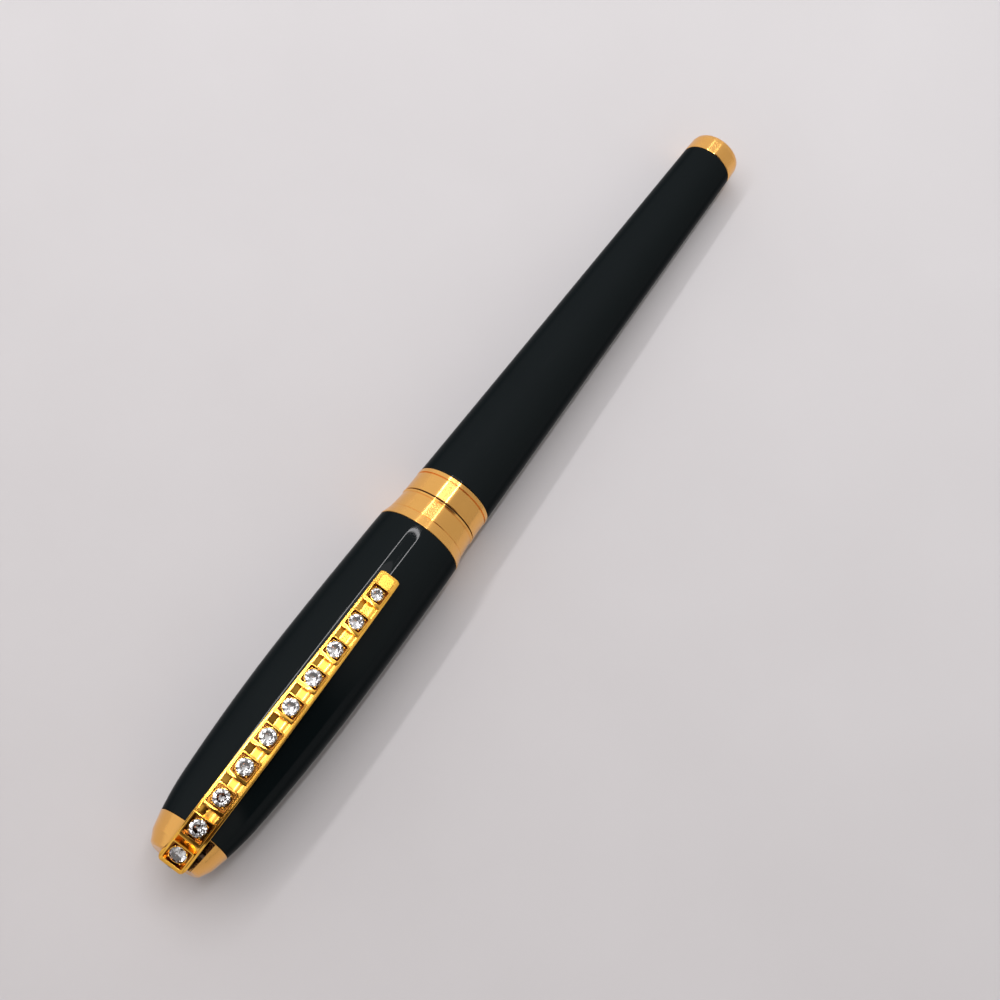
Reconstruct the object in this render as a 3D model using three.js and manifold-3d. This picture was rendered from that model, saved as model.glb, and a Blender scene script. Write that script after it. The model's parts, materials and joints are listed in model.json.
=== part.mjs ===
// A capped rollerball pen, in millimetres. The pen's axis runs along X: the cap's crown is at -X and the barrel's
// end at +X. The clip is on top (+Z). Lengths along the pen are measured from the crown's end face (x = 0), and the
// whole pen is moved at the end so that the row's origin is the bottom centre of its bounding box.
import * as THREE from "three";
import { mergeGeometries, mergeVertices } from "three/addons/utils/BufferGeometryUtils.js";
import Module from "manifold-3d";

const wasm = await Module();
wasm.setup();

// Round pieces
const SIDES = 24;
const INNER_SIDES = 16;

// Stations along the pen
const CROWN_END = 4.35;
const CAP_END = 55.5;
const MOUTH_END = 60.35;
const FLARE_END = 57.2;
const BARREL_RING_START = 60.75;
const BARREL_START = 64.45;
const END_CAP_START = 134.6;
const PEN_END = 138;

// Radii on the outside
const BELLY_R = 7.06;
const FLARE_R = 6.66;
const BAND_R = 6.2;
const MOUTH_R = 6.02;
const BARREL_RING_R = 5.93;
const BARREL_R = 5.9;
const END_CAP_R = 4.13;

// Radii on the inside
const CAP_BORE_R = 6.1;
const MOUTH_BORE_R = 5.4;
const CATCH_R = 5.25;
const THREAD_R = 4.55;
const THREAD_PITCH = 1;
const THREAD_TURNS = 8;
const INSERT_BORE_R = 4.68;
const REFILL_R = 3.0;
const REFILL_BORE_R = 3.15;

// Refill
const TIP_X = 20;
const COLLAR_X = 30;
const TUBE_X = 42;
const REFILL_END = 130;

// Clip
const STONES = 10;
const STONE_PITCH = 4.905;
const FIRST_BOX = 2.8;
const BOX_STEP = 0.08;
const BOX_RISE = 0.14;
const BOX_LIP = 0.26;
const BOX_DEPTH = 0.38;
const STONE_R = 1.2;
const PAVILION = 0.6;
const CROWN = 0.24;
const CLIP_THICK = 1.15;
const NOSE_THICK = 0.8;
const CHANNEL_DEPTH = 0.42;
const RAIL_SHARE = 0.12;
const PAD_X = 45.3;
const PAD_LENGTH = 1.9;
const PIN_X = 2.3;
const PIN_Z = 2.6;
const PIN_R = 0.58;
const SLOT_HALF = 2.42;
const SLOT_FLOOR = 1.0;

// Where the bottom centre of the bounding box is, measured from the crown's end face and the axis
const NOSE_X = -1.2;
const ORIGIN_X = (NOSE_X + PEN_END) / 2;
const AXIS_Z = BELLY_R;

const gold = { color: 0xd9a23c, roughness: 0.16, metalness: 1 };
const lacquer = { color: 0x0d1112, roughness: 0.08, metalness: 0 };
const steel = { color: 0xb9bcbf, roughness: 0.3, metalness: 1 };
const brass = { color: 0xb8924a, roughness: 0.35, metalness: 1 };
const blackPlastic = { color: 0x17181a, roughness: 0.45, metalness: 0 };
const whitePlastic = { color: 0xd8d6cf, roughness: 0.5, metalness: 0 };
const rubber = { color: 0x101010, roughness: 0.85, metalness: 0 };
const fibre = { color: 0x1d2a63, roughness: 0.9, metalness: 0 };
const stone = { color: 0xeef2f5, roughness: 0.02, metalness: 0 };
const onyx = { color: 0x1a0f0c, roughness: 0.1, metalness: 0 };

const pen = new THREE.Group();
pen.name = "rollerball_pen";

function addNode(name, geometry, look) {
  const mesh = new THREE.Mesh(geometry, new THREE.MeshStandardMaterial(look));
  mesh.name = name;
  mesh.position.set(-ORIGIN_X, 0, AXIS_Z);
  pen.add(mesh);
}

// Solids

function bare(geometry) {
  const copy = geometry.index ? geometry.toNonIndexed() : geometry.clone();
  copy.deleteAttribute("normal");
  copy.deleteAttribute("uv");
  return mergeVertices(copy, 1e-4);
}

function solid(geometry) {
  const g = bare(geometry);
  return new wasm.Manifold(
    new wasm.Mesh({
      numProp: 3,
      vertProperties: g.attributes.position.array,
      triVerts: new Uint32Array(g.index.array),
    }),
  );
}

function geometryOf(made) {
  const mesh = made.getMesh();
  const n = mesh.numProp;
  const points = new Float32Array(mesh.numVert * 3);
  for (let i = 0; i < mesh.numVert; i++) {
    points.set(mesh.vertProperties.subarray(i * n, i * n + 3), i * 3);
  }
  const g = new THREE.BufferGeometry();
  g.setAttribute("position", new THREE.BufferAttribute(points, 3));
  g.setIndex(new THREE.BufferAttribute(new Uint32Array(mesh.triVerts), 1));
  g.computeVertexNormals();
  return g;
}

// Turns a profile of [x, radius] pairs round the pen's axis. The profile runs along the outside towards +X first, then
// back along the bore. Its flats sit at the stated radius, with one of them facing down.
function turned(profile, sides = SIDES) {
  const grow = 1 / Math.cos(Math.PI / sides);
  const outline = profile.map(([x, r]) => new THREE.Vector2(r * grow, x));
  const first = outline[0];
  const last = outline[outline.length - 1];
  if (first.x > 0 || last.x > 0) {
    outline.push(first.clone());
  }
  const g = new THREE.LatheGeometry(outline, sides, Math.PI / sides);
  g.rotateZ(-Math.PI / 2);
  return g;
}

function block(x, y, z, at) {
  return new THREE.BoxGeometry(x, y, z).translate(...at);
}

// A round bar across the pen (along Y).
function crossBar(radius, length, x, z, sides = INNER_SIDES) {
  return new THREE.CylinderGeometry(radius, radius, length, sides).translate(x, 0, z);
}

// A flat outline in the pen's upright plane (x, z), given a thickness across the pen.
function plate(shape, width) {
  const g = new THREE.ExtrudeGeometry(shape, { depth: width, bevelEnabled: false, curveSegments: 6 });
  return g.rotateX(Math.PI / 2).translate(0, width / 2, 0);
}

// Joins rings of points, all of the same count, into one closed skin.
function skin(rings) {
  const points = [];
  const faces = [];
  const count = rings[0].length;
  for (const ring of rings) {
    for (const p of ring) {
      points.push(p.x, p.y, p.z);
    }
  }
  for (let i = 0; i + 1 < rings.length; i++) {
    for (let j = 0; j < count; j++) {
      const a = i * count + j;
      const b = i * count + ((j + 1) % count);
      faces.push(a, b, b + count, a, b + count, a + count);
    }
  }
  const lastRing = (rings.length - 1) * count;
  for (let j = 1; j + 1 < count; j++) {
    faces.push(0, j + 1, j);
    faces.push(lastRing, lastRing + j, lastRing + j + 1);
  }
  const g = new THREE.BufferGeometry();
  g.setAttribute("position", new THREE.BufferAttribute(new Float32Array(points), 3));
  g.setIndex(faces);
  return g;
}

// A wire of round section, wound about the pen's axis.
function coil(radius, wire, from, to, turns) {
  const steps = turns * 12;
  const points = [];
  for (let i = 0; i <= steps; i++) {
    const angle = (i / 12) * 2 * Math.PI;
    const x = from + wire + ((to - from - 2 * wire) * i) / steps;
    points.push(new THREE.Vector3(x, radius * Math.sin(angle), radius * Math.cos(angle)));
  }
  const path = new THREE.CatmullRomCurve3(points);
  const section = new THREE.Shape();
  section.absarc(0, 0, wire, 0, 2 * Math.PI);
  return new THREE.ExtrudeGeometry(section, { steps, curveSegments: 3, extrudePath: path });
}

// Cap

function capShell() {
  const outside = new THREE.SplineCurve(
    [
      [CROWN_END + 0.05, 5.42],
      [8, 6.02],
      [13, 6.43],
      [20, 6.81],
      [27, 7.02],
      [33, BELLY_R],
      [40, 6.99],
      [47, 6.86],
      [CAP_END, 6.68],
    ].map(([x, r]) => new THREE.Vector2(x, r)),
  );
  const profile = outside.getPoints(14).map((p) => [p.x, p.y]);
  profile.push([CAP_END, CAP_BORE_R], [18, CAP_BORE_R], [13, 5.85], [8.5, 5.3], [CROWN_END + 0.05, 4.65]);
  return turned(profile);
}

function capMouthRing() {
  return turned([
    [CAP_END + 0.02, FLARE_R - 0.12],
    [CAP_END + 0.12, FLARE_R],
    [FLARE_END - 0.08, BAND_R + 0.05],
    [FLARE_END, BAND_R - 0.07],
    [FLARE_END + 0.08, BAND_R],
    [MOUTH_END - 0.42, MOUTH_R + 0.02],
    [MOUTH_END - 0.35, MOUTH_R - 0.06],
    [MOUTH_END - 0.28, MOUTH_R + 0.04],
    [MOUTH_END - 0.05, MOUTH_R + 0.05],
    [MOUTH_END, MOUTH_R - 0.05],
    [MOUTH_END, MOUTH_BORE_R],
    [49, MOUTH_BORE_R],
    [49, CAP_BORE_R - 0.04],
    [CAP_END + 0.02, CAP_BORE_R - 0.04],
  ]);
}

function capCrown() {
  const body = solid(
    turned([
      [0, 0],
      [0, 3.55],
      [0.25, 3.95],
      [1.75, 4.78],
      [CROWN_END, 5.43],
      [CROWN_END, 4.5],
      [8.4, 4.5],
      [8.4, 0],
    ]),
  );
  const slotX = CROWN_END - 0.1;
  const slot = solid(block(slotX + 1, 2 * SLOT_HALF, 6, [(slotX - 1) / 2, 0, SLOT_FLOOR + 3]));
  const screwHole = solid(turned([[4.8, 0], [4.8, 1.55], [9, 1.55], [9, 0]], INNER_SIDES));
  const pinHole = solid(crossBar(PIN_R + 0.04, 6.3, PIN_X, PIN_Z));
  return geometryOf(body.subtract(slot).subtract(screwHole).subtract(pinHole));
}

function crownScrew() {
  return turned([[5, 0], [5, 1.4], [9.95, 1.45], [9.95, 2.6], [11.6, 2.6], [11.6, 1.2], [10.8, 1.2], [10.8, 0]], INNER_SIDES);
}

function innerCap() {
  return turned([
    [8.45, 1.7],
    [8.45, 4.95],
    [13, 5.6],
    [17.5, 5.95],
    [38, 5.95],
    [38, 4.7],
    [36, 4.45],
    [16, 4.45],
    [13.5, 3.4],
    [9.9, 3.4],
    [9.9, 1.7],
  ]);
}

// The spring fingers that the cap snaps shut with, drawn as one ring behind the mouth.
function capSnapRing() {
  return turned([
    [46.2, 5.7],
    [46.2, 6.0],
    [48.9, 6.0],
    [48.9, 5.45],
    [48.5, 5.38],
    [48, 5.45],
    [47.6, 5.7],
  ]);
}

function clipPin() {
  return crossBar(PIN_R, 6.2, PIN_X, PIN_Z);
}

function clipSpring() {
  const arch = new THREE.Shape();
  arch.moveTo(0.35, SLOT_FLOOR + 0.03);
  arch.lineTo(0.9, SLOT_FLOOR + 0.03);
  arch.quadraticCurveTo(2.3, 1.7, 3.7, SLOT_FLOOR + 0.03);
  arch.lineTo(4.1, SLOT_FLOOR + 0.03);
  arch.quadraticCurveTo(2.3, 2.25, 0.35, SLOT_FLOOR + 0.03);
  return plate(arch, 2.6);
}

// Clip

// The middle line of the clip's top face, from the nose over the crown to the free end, as x and height over the axis.
const clipLine = new THREE.SplineCurve(
  [
    [NOSE_X + 0.12, 1.1],
    [NOSE_X + 0.1, 2.0],
    [-0.68, 2.95],
    [0.62, 4.25],
    [2.2, 5.75],
    [4.2, 7.05],
    [8.8, 8.45],
    [13.6, 9.05],
    [18.6, 9.32],
    [24, 9.42],
    [30, 9.35],
    [36, 9.1],
    [42, 8.62],
    [46.6, 8.05],
  ].map(([x, z]) => new THREE.Vector2(x, z)),
);
const CLIP_LENGTH = clipLine.getLength();
const LAST_STONE = CLIP_LENGTH - 3.45;
const NOSE_STONE_AT = 0.75;

function clipWidth(s) {
  const toTip = CLIP_LENGTH - s;
  const taper = 3.1 + 1.2 * Math.min(1, toTip / 30) ** 0.8;
  const nose = s < 2.8 ? Math.sqrt(1 - ((2.8 - s) / 3.3) ** 2) : 1;
  const tip = toTip < 0.7 ? Math.sqrt(1 - ((0.7 - toTip) / 0.95) ** 2) : 1;
  return taper * nose * tip;
}

// The clip's own axes at a length along its middle line: along it, across the pen and out of the top face.
function clipFrame(s) {
  const u = s / CLIP_LENGTH;
  const p = clipLine.getPointAt(u);
  const t = clipLine.getTangentAt(u);
  const along = new THREE.Vector3(t.x, 0, t.y);
  const across = new THREE.Vector3(0, 1, 0);
  const out = new THREE.Vector3(-t.y, 0, t.x);
  return new THREE.Matrix4().makeBasis(along, across, out).setPosition(p.x, 0, p.y);
}

// How deep the channel between the two rails is: none at the plain nose and free end.
function channelDepth(s) {
  const fromNose = THREE.MathUtils.clamp((s - 2.5) / 0.5, 0, 1);
  const fromTip = THREE.MathUtils.clamp((CLIP_LENGTH - s - 2.2) / 0.5, 0, 1);
  return CHANNEL_DEPTH * fromNose * fromTip;
}

function clipBar() {
  const rings = [];
  const steps = 40;
  for (let i = 0; i <= steps; i++) {
    const s = (CLIP_LENGTH * i) / steps;
    const half = clipWidth(s) / 2;
    const rail = 2 * RAIL_SHARE * half;
    const depth = channelDepth(s);
    const under = NOSE_THICK + (CLIP_THICK - NOSE_THICK) * THREE.MathUtils.clamp((s - 2) / 2, 0, 1);
    const frame = clipFrame(s);
    const side = [
      [half, -0.16],
      [half - 0.12, 0],
      [half - rail, 0.02],
      [half - rail - 0.14, 0.03 - 0.85 * depth],
    ];
    const section = [
      [half - 0.12, -under],
      ...side,
      [0, 0.05 - depth],
      ...side.map(([y, z]) => [-y, z]).reverse(),
      [0.12 - half, -under],
    ];
    rings.push(section.map(([y, z]) => new THREE.Vector3(0, y, z).applyMatrix4(frame)));
  }
  return skin(rings);
}

function boxSize(i) {
  return FIRST_BOX + BOX_STEP * i;
}

// The stones are alike but for the ones by the free end, which are smaller.
function stoneRadius(i) {
  return STONE_R - 0.3 * 0.45 ** i;
}

function stoneFrame(i) {
  return clipFrame(LAST_STONE - STONE_PITCH * i);
}

// A square box with sides that lean in towards its top.
function leaningBox(bottom, top, low, high) {
  const ring = (half, z) => [
    new THREE.Vector3(-half, -half, z),
    new THREE.Vector3(half, -half, z),
    new THREE.Vector3(half, half, z),
    new THREE.Vector3(-half, half, z),
  ];
  return skin([ring(bottom / 2, low), ring(top / 2, high)]);
}

// A piece drawn about the stone's own axis (+Y in the lathe), stood up along the clip's outward axis.
function standing(profile, sides) {
  const outline = profile.map(([r, z]) => new THREE.Vector2(r, z));
  return new THREE.LatheGeometry(outline, sides, Math.PI / sides).rotateX(Math.PI / 2);
}

function stoneGeometry(i) {
  const r = stoneRadius(i);
  const girdle = BOX_RISE - BOX_DEPTH + 0.12;
  const g = standing(
    [
      [0, girdle - PAVILION * r],
      [r, girdle],
      [r, girdle + 0.04 * r],
      [0.55 * r, girdle + CROWN * r],
      [0, girdle + CROWN * r],
    ],
    8,
  );
  return g.applyMatrix4(stoneFrame(i));
}

function clipBody() {
  let made = solid(clipBar());
  const lugOutline = [
    [PIN_X - 1.1, PIN_Z - 0.8],
    [PIN_X + 1.1, PIN_Z - 0.8],
    [PIN_X + 1.1, 5.7],
    [PIN_X - 1.1, 4.1],
  ];
  const lug = plate(new THREE.Shape(lugOutline.map(([x, z]) => new THREE.Vector2(x, z))), 3);
  const pad = block(PAD_LENGTH, 1.9, 0.8, [PAD_X, 0, BELLY_R + 0.28]);
  made = made.add(solid(lug)).add(solid(pad));
  made = made.subtract(solid(crossBar(PIN_R + 0.05, 8, PIN_X, PIN_Z)));
  for (let i = 0; i < STONES; i++) {
    const frame = stoneFrame(i);
    const size = boxSize(i);
    const hole = size - 2 * BOX_LIP;
    const r = stoneRadius(i);
    const floor = BOX_RISE - BOX_DEPTH;
    const box = leaningBox(size + 0.1, size, -0.9, BOX_RISE);
    const recess = leaningBox(hole, hole + 0.06, floor, BOX_RISE + 0.2);
    const seatDepth = PAVILION * r + 0.04;
    const seat = standing([[0, floor - seatDepth], [r + 0.04, floor + 0.08], [r + 0.04, 1], [0, 1]], 8);
    made = made.add(solid(box.applyMatrix4(frame)));
    made = made.subtract(solid(recess.applyMatrix4(frame)));
    made = made.subtract(solid(seat.applyMatrix4(frame)));
    for (const [a, b] of [[1, 1], [1, -1], [-1, 1], [-1, -1]]) {
      const bead = block(0.24, 0.24, 0.3, [a * (hole / 2 - 0.1), b * (hole / 2 - 0.1), floor + 0.13]);
      made = made.add(solid(bead.applyMatrix4(frame)));
    }
  }
  const noseSeat = standing([[0, -0.4], [0.52, -0.4], [0.52, 0.5], [0, 0.5]], 10);
  made = made.subtract(solid(noseSeat.applyMatrix4(clipFrame(NOSE_STONE_AT))));
  return geometryOf(made);
}

function noseStone() {
  const g = standing([[0, -0.36], [0.48, -0.36], [0.48, -0.06], [0.34, 0.03], [0, 0.07]], 10);
  return g.applyMatrix4(clipFrame(NOSE_STONE_AT));
}

// Grip section

function gripSection() {
  return turned([
    [29.55, 3.5],
    [29.55, 3.9],
    [29.8, 3.98],
    [38, 4.3],
    [48, 4.72],
    [56.4, 4.98],
    [56.4, 3.75],
    [48, 3.75],
    [48, REFILL_BORE_R],
    [TUBE_X - 0.1, REFILL_BORE_R],
    [TUBE_X - 0.1, 2.8],
    [34.3, 2.8],
    [34.3, 3.5],
  ]);
}

function noseCone() {
  return turned([
    [22.6, 1.3],
    [22.6, 1.5],
    [22.9, 1.75],
    [25.5, 2.75],
    [28.6, 3.72],
    [29.2, 3.9],
    [29.5, 3.9],
    [29.5, 3.4],
    [34.1, 3.4],
    [34.1, 2.85],
    [29.5, 2.75],
    [26.4, 1.3],
  ]);
}

function catchRing() {
  return turned([
    [56.45, 3.75],
    [56.45, 5.1],
    [56.6, CATCH_R],
    [57.6, CATCH_R],
    [57.75, 5.05],
    [58.75, 5.05],
    [58.9, CATCH_R],
    [60.4, CATCH_R],
    [60.4, 3.75],
  ]);
}

function sectionRing() {
  return turned([[57.85, 5.1], [57.85, 5.28], [58.15, 5.34], [58.35, 5.34], [58.65, 5.28], [58.65, 5.1]]);
}

function threadBush() {
  const profile = [
    [48.1, 3.7],
    [60.45, 3.7],
    [60.45, THREAD_R - 0.25],
    [61.4, THREAD_R - 0.25],
  ];
  for (let i = 0; i < THREAD_TURNS; i++) {
    const x = 61.6 + THREAD_PITCH * i;
    profile.push([x, THREAD_R - 0.25], [x + THREAD_PITCH / 2, THREAD_R]);
  }
  profile.push([70, THREAD_R - 0.4], [70, REFILL_BORE_R], [48.1, REFILL_BORE_R]);
  return turned(profile);
}

function barrelWasher() {
  return turned([[60.47, 4.72], [60.47, 5.6], [60.7, 5.6], [60.7, 4.72]]);
}

// Barrel

function barrelFrontRing() {
  return turned([
    [BARREL_RING_START, 5.12],
    [BARREL_RING_START, BARREL_RING_R],
    [BARREL_RING_START + 0.1, BARREL_RING_R + 0.06],
    [63.5, BARREL_RING_R],
    [63.55, BARREL_RING_R - 0.07],
    [63.68, BARREL_RING_R - 0.07],
    [63.73, BARREL_RING_R + 0.04],
    [BARREL_START - 0.15, BARREL_RING_R + 0.03],
    [BARREL_START - 0.03, BARREL_RING_R - 0.06],
    [BARREL_START - 0.03, 5.12],
  ]);
}

function barrelInsert() {
  return turned([[60.8, INSERT_BORE_R], [60.8, 5.06], [74, 5.06], [74, INSERT_BORE_R]]);
}

function barrelShell() {
  return turned([
    [BARREL_START, 5.15],
    [BARREL_START, BARREL_R - 0.05],
    [BARREL_START + 0.15, BARREL_R],
    [88, 5.28],
    [111, 4.7],
    [END_CAP_START - 0.2, END_CAP_R],
    [END_CAP_START - 0.05, END_CAP_R - 0.04],
    [END_CAP_START - 0.05, 3.4],
    [130.6, 3.4],
    [75.5, 4.75],
    [74.1, 4.8],
    [74.1, 5.15],
  ]);
}

function barrelEndCap() {
  return turned([
    [132, 2.75],
    [132, 3.34],
    [END_CAP_START, 3.34],
    [END_CAP_START, END_CAP_R - 0.06],
    [END_CAP_START + 0.12, END_CAP_R],
    [PEN_END - 1.1, END_CAP_R - 0.08],
    [PEN_END - 0.5, END_CAP_R - 0.25],
    [PEN_END - 0.12, END_CAP_R - 0.58],
    [PEN_END, END_CAP_R - 0.95],
    [PEN_END, 0],
    [136, 0],
    [136, 1.2],
    [135.2, 1.2],
    [135.2, 2.75],
  ]);
}

function springSeat() {
  return turned([[134.7, 0], [134.7, 2.6], [135.15, 2.6], [135.15, 1.1], [135.9, 1.1], [135.9, 0]], INNER_SIDES);
}

function refillSpring() {
  return coil(2.1, 0.22, 130.5, 134.66, 4);
}

// Refill

function refillPoint() {
  return turned(
    [
      [TIP_X + 0.35, 0.37],
      [TIP_X + 0.35, 0.45],
      [TIP_X + 2.2, 0.75],
      [TIP_X + 2.4, 1.15],
      [COLLAR_X, 1.15],
      [COLLAR_X, 1.6],
      [COLLAR_X + 3, 1.6],
      [COLLAR_X + 3, 0.55],
      [TIP_X + 0.75, 0.37],
    ],
    INNER_SIDES,
  );
}

function refillBall() {
  const r = 0.34;
  const profile = [];
  for (let i = 0; i <= 6; i++) {
    const a = (Math.PI * i) / 6;
    profile.push([TIP_X + r - r * Math.cos(a), i % 6 ? r * Math.sin(a) : 0]);
  }
  return turned(profile, 8);
}

function refillCollar() {
  return turned(
    [
      [COLLAR_X + 0.1, 1.65],
      [COLLAR_X + 0.1, 2.2],
      [COLLAR_X + 0.5, 2.6],
      [TUBE_X - 0.05, 2.6],
      [TUBE_X - 0.05, 2.95],
      [TUBE_X + 0.6, 2.95],
      [TUBE_X + 0.6, 2.5],
      [TUBE_X + 4, 2.5],
      [TUBE_X + 4, 0.6],
      [COLLAR_X + 3.1, 0.6],
      [COLLAR_X + 3.1, 1.65],
    ],
    INNER_SIDES,
  );
}

function feedRod() {
  return turned([[TIP_X + 4, 0], [TIP_X + 4, 0.3], [TUBE_X + 3.95, 0.5], [TUBE_X + 3.95, 0]], 8);
}

function refillTube() {
  return turned(
    [
      [TUBE_X + 0.65, 2.58],
      [TUBE_X + 0.65, REFILL_R],
      [REFILL_END - 0.8, REFILL_R],
      [REFILL_END - 0.8, 2.58],
    ],
    INNER_SIDES,
  );
}

function inkReservoir() {
  return turned([[TUBE_X + 4.1, 0], [TUBE_X + 4.1, 2.5], [124, 2.5], [124, 0]], INNER_SIDES);
}

function refillPlug() {
  return turned(
    [
      [125.5, 0],
      [125.5, 2.5],
      [REFILL_END - 0.75, 2.5],
      [REFILL_END - 0.75, 2.95],
      [REFILL_END - 0.1, 2.85],
      [REFILL_END, 2.7],
      [REFILL_END, 1.5],
      [REFILL_END + 0.4, 1.3],
      [REFILL_END + 0.4, 0],
    ],
    INNER_SIDES,
  );
}

addNode("cap_shell", capShell(), lacquer);
addNode("cap_mouth_ring", capMouthRing(), gold);
addNode("cap_crown", capCrown(), gold);
addNode("crown_screw", crownScrew(), steel);
addNode("inner_cap", innerCap(), blackPlastic);
addNode("cap_snap_ring", capSnapRing(), steel);
addNode("clip_pin", clipPin(), steel);
addNode("clip_spring", clipSpring(), steel);
addNode("clip", clipBody(), gold);
for (let i = 0; i < STONES; i++) {
  addNode("clip_stone_" + String(i + 1).padStart(2, "0"), stoneGeometry(i), stone);
}
addNode("clip_nose_stone", noseStone(), onyx);
addNode("grip_section", gripSection(), lacquer);
addNode("nose_cone", noseCone(), gold);
addNode("catch_ring", catchRing(), gold);
addNode("section_ring", sectionRing(), rubber);
addNode("thread_bush", threadBush(), brass);
addNode("barrel_washer", barrelWasher(), blackPlastic);
addNode("barrel_front_ring", barrelFrontRing(), gold);
addNode("barrel_insert", barrelInsert(), brass);
addNode("barrel_shell", barrelShell(), lacquer);
addNode("barrel_end_cap", barrelEndCap(), gold);
addNode("spring_seat", springSeat(), blackPlastic);
addNode("refill_spring", refillSpring(), steel);
addNode("refill_point", refillPoint(), steel);
addNode("refill_ball", refillBall(), steel);
addNode("refill_collar", refillCollar(), whitePlastic);
addNode("feed_rod", feedRod(), whitePlastic);
addNode("refill_tube", refillTube(), steel);
addNode("ink_reservoir", inkReservoir(), fibre);
addNode("refill_plug", refillPlug(), whitePlastic);

export default pen;
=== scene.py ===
"""The looks of a capped rollerball pen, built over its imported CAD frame.

Shapes are drawn in the pen's own millimetres: x runs from the crown's end face along the axis,
y across the pen and z up from the axis, with the clip on top. place() moves them into the frame, in metres.
"""

import json
import math

import bmesh
import bpy
import numpy as np
from mathutils import Matrix, Vector


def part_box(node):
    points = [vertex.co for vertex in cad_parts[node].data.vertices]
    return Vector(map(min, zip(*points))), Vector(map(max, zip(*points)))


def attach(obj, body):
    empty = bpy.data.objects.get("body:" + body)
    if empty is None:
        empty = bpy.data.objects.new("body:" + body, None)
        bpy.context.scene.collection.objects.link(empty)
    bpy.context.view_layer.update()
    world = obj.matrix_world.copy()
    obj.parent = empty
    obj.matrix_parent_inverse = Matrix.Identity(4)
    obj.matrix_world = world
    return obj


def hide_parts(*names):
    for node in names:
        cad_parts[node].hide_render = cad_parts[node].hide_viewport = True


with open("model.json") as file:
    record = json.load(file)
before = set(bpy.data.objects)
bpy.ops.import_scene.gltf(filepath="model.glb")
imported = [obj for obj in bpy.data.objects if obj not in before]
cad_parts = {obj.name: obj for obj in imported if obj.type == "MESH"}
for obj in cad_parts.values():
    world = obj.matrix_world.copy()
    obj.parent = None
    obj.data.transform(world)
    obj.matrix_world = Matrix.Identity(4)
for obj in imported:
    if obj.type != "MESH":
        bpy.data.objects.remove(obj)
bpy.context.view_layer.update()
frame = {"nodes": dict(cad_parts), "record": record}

NODES = frame["nodes"]
BODY_OF = {n: body for body, names in frame["record"]["behaviour"]["bodies"].items() for n in names}

MM = 0.001
CROWN_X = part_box("cap_crown")[0].x
AXIS_Z = sum(c.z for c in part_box("barrel_shell")) / 2
SIDES = 144

# The clip's middle line, as the CAD part draws it, from its nose to its free end
CLIP_POINTS = [
    (-1.08, 1.1),
    (-1.1, 2.0),
    (-0.68, 2.95),
    (0.62, 4.25),
    (2.2, 5.75),
    (4.2, 7.05),
    (8.8, 8.45),
    (13.6, 9.05),
    (18.6, 9.32),
    (24, 9.42),
    (30, 9.35),
    (36, 9.1),
    (42, 8.62),
    (46.6, 8.05),
]
CLIP_THICK = 1.15
NOSE_THICK = 0.8
PIN = (2.3, 2.6)
PIN_R = 0.58

# The stones, counted from the free end, and the square boxes they are set in
STONES = 10
STONE_PITCH = 4.905
LAST_STONE_TO_TIP = 3.45
STONE_R = 1.2
GIRDLE = -0.12
FIRST_BOX = 2.8
BOX_STEP = 0.08
BOX_RISE = 0.14
BOX_LIP = 0.24
BOX_TAIL = 0.36
WELL_DEPTH = 0.95
NOSE_STONE_AT = 0.75
NOSE_STONE_R = 0.48

# The rails along the clip's edges and the trough between them, deepest at TROUGH_MIDDLE towards +Y
UPPER_RAIL = 0.42
LOWER_RAIL = 0.35
UPPER_TRIM = 0.25
TROUGH_DEPTH = 0.45
TROUGH_DEEPER_BY = 0.4
TROUGH_BEND = 0.133
TROUGH_MIDDLE = 0.5

# The crown's slot for the clip: it is narrower on the +Y side, and widens towards the lacquer on the other
SLOT_HALF = 2.42
SLOT_UPPER = 2.02
SLOT_UPPER_START = 1.7
SLOT_WIDENS_BY = 0.45
SLOT_FLOOR = 1.0
SLOT_END = 4.25

# Where the pen touches the floor: the end of its cap's lacquer, and the end of its barrel
FRONT_REST = (55.5, 6.68)
REAR_REST = (136.9, 4.05)

# The lacquer's buffed end, next to the cap's mouth ring
LACQUER_ROLL_START = 52.4
LACQUER_ROLL_RADIUS = 120.0
LACQUER_OUTSIDE = 6.3

# The fine lines turned into the gold bands, and the radii that their bottoms are between
GROOVES = (57.2, 60.0, 63.615)
GROOVE_REACH = 0.09
GROOVE_DEEPER_BY = 0.12
GROOVE_BOTTOMS = (5.5, 6.14)

# The gap between the cap's mouth and the barrel's front ring, whose face is before RING_FACE_END
GAP_NARROWED_BY = 0.17
RING_FACE_END = 60.95

# The crown is screwed in a little past the clip's middle line
CROWN_TURN = 3.0


# Meshes


def place(points):
    """Points in the pen's millimetres, moved into the row frame in metres."""
    return np.asarray(points, float) * MM + np.array([CROWN_X, 0, AXIS_Z])


def new_object(name, points, faces, smooth=30):
    """A mesh object from points in the pen's millimetres. Edges sharper than smooth degrees stay sharp."""
    mesh = bpy.data.meshes.new(name)
    mesh.from_pydata(place(points).tolist(), [], [list(f) for f in faces])
    mesh.validate()
    made = bmesh.new()
    made.from_mesh(mesh)
    bmesh.ops.recalc_face_normals(made, faces=made.faces)
    made.to_mesh(mesh)
    made.free()
    shade(mesh, smooth)
    obj = bpy.data.objects.new(name, mesh)
    bpy.context.scene.collection.objects.link(obj)
    return obj


def shade(mesh, smooth):
    mesh.shade_smooth()
    mesh.set_sharp_from_angle(angle=math.radians(smooth))


def stand_for(obj, node, look):
    """obj takes the CAD node's place: it rides on the node's body and wears the look."""
    obj.data.materials.clear()
    obj.data.materials.append(look)
    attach(obj, BODY_OF[node])
    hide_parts(node)
    return obj


# Profiles of round pieces


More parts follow.
